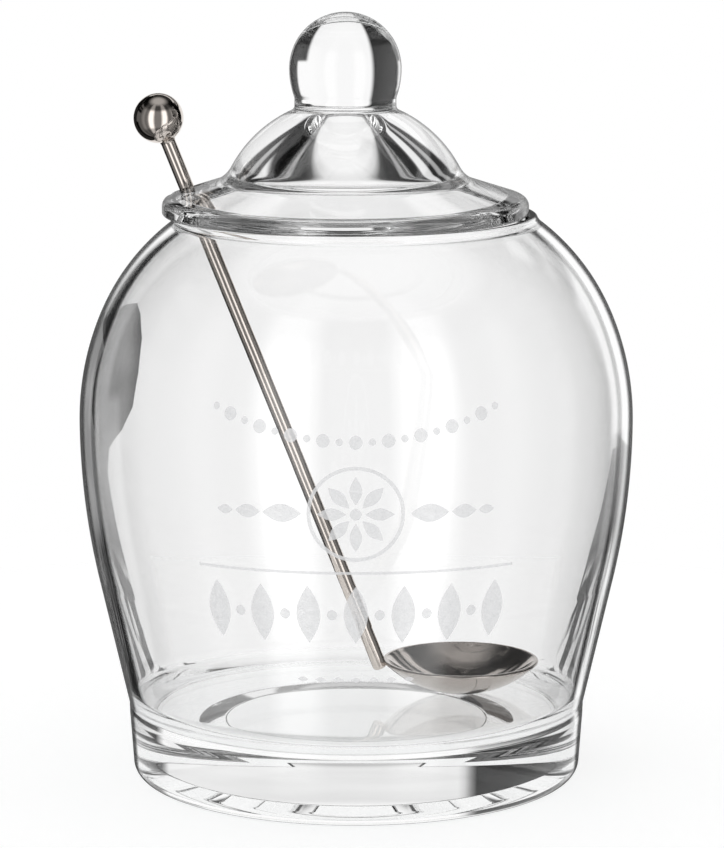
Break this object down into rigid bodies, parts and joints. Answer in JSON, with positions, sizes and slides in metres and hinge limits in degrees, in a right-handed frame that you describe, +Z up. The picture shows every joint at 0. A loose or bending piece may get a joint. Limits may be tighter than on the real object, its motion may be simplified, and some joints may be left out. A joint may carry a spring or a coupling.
{
  "type": "glass olive jar with spoon",
  "caption": "Empty clear glass jar with a rounded belly, a loose domed glass lid with a round knob and a notched flange, and a long ball-ended steel spoon leaning in it.",
  "frame": {"origin": "middle of the jar's round foot, on the surface that it stands on", "axes": "+Z up along the jar's axis; -Y towards the ornament and the viewer; -X towards the side that the spoon leans to"},
  "size_m": [0.125, 0.125, 0.1736],
  "materials": {
    "jar_glass": "clear blown glass with a frosted printed ornament on the front",
    "lid_glass": "clear pressed glass, thick, with a solid knob",
    "spoon_steel": "polished stainless steel"
  },
  "bodies": {
    "root": {"jar": "jar_glass", "lid": "lid_glass", "spoon_bowl": "spoon_steel", "spoon_rod": "spoon_steel", "spoon_ball": "spoon_steel"}
  },
  "joints": []
}
